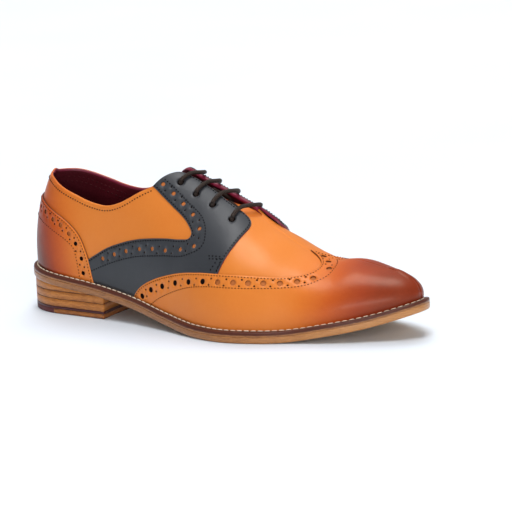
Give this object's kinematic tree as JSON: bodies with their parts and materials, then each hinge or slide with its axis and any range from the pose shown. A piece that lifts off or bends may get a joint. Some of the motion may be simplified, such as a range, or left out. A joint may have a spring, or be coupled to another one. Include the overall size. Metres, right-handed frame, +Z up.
{
  "type": "brogue shoe",
  "caption": "Tan leather brogue shoe for the right foot, with navy facings, derby lacing, a wing cap, a welted leather sole and a stacked heel.",
  "frame": {"origin": "centre of the shoe's plan box, on the floor under the sole", "axes": "+X from heel to toe, +Y to the medial side of the right shoe, +Z up"},
  "size_m": [0.306, 0.1053, 0.1033],
  "materials": {
    "tan_leather": "satin",
    "navy_leather": "satin",
    "outsole_leather": "satin",
    "welt_leather": "satin",
    "insole_leather": "satin",
    "heel_leather": "satin",
    "heel_accent_leather": "satin",
    "heel_rubber": "matte",
    "lace_cord": "satin"
  },
  "bodies": {
    "root": {"outsole": "outsole_leather", "welt": "welt_leather", "insole": "insole_leather", "heel_rubber": "heel_rubber", "heel_top_piece": "heel_leather", "heel_accent": "heel_accent_leather", "heel_lift_3": "heel_leather", "heel_lift_2": "heel_leather", "heel_wedge": "heel_leather", "upper": "tan_leather", "tongue": "tan_leather", "wing_cap": "tan_leather", "counter": "tan_leather", "facing_lateral": "navy_leather", "facing_medial": "navy_leather", "lace_bar_1": "lace_cord", "lace_bar_2": "lace_cord", "lace_bar_3": "lace_cord", "lace_bar_4": "lace_cord"}
  },
  "joints": []
}
